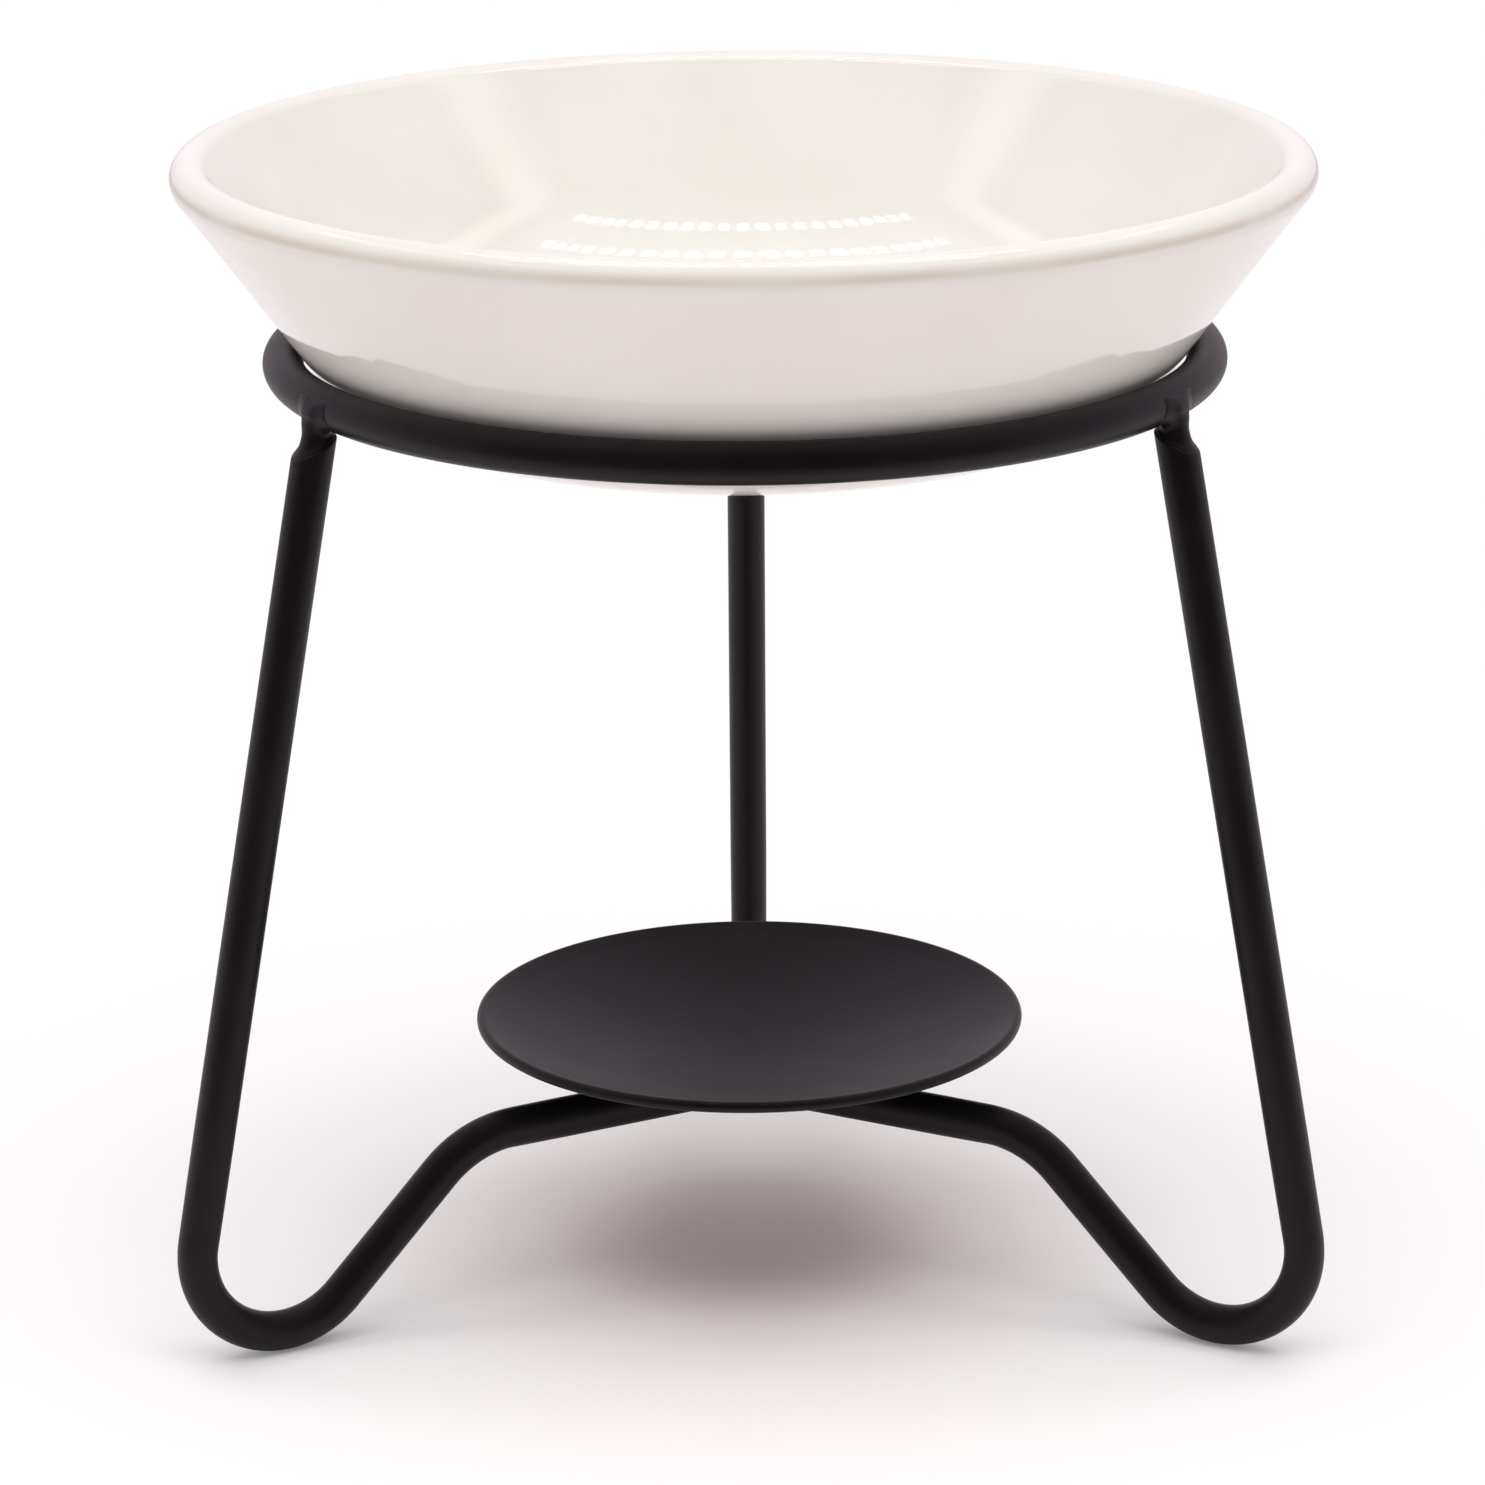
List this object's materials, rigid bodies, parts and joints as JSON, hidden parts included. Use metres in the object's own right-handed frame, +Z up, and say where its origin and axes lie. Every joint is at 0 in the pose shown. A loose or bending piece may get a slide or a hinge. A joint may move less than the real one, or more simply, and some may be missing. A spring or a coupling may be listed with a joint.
{
  "type": "essential oil burner",
  "caption": "Essential oil burner: a white glazed dish for water and oil rests in the ring of a black bent-wire stand, over a dished plate for a tealight.",
  "frame": {"origin": "on the stand's axis, on the surface that its three feet stand on", "axes": "+Z up along the stand's axis, the back leg along +Y, the front towards -Y"},
  "size_m": [0.1106, 0.1187, 0.1136],
  "materials": {
    "glaze": "gloss warm white glaze, unglazed foot ring",
    "coat": "satin black powder coat"
  },
  "bodies": {
    "stand": {"bowl_ring": "coat", "candle_plate": "coat", "leg_left": "coat", "leg_right": "coat", "leg_back": "coat", "ring_weld_left": "coat", "ring_weld_right": "coat", "ring_weld_back": "coat", "plate_weld_left": "coat", "plate_weld_right": "coat", "plate_weld_back": "coat"},
    "bowl": {"oil_bowl": "glaze"}
  },
  "joints": [
    {"name": "bowl_lift", "type": "slide", "parent": "stand", "child": "bowl", "axis": [0, 0, 1], "range_m": [0, 0.06]}
  ]
}
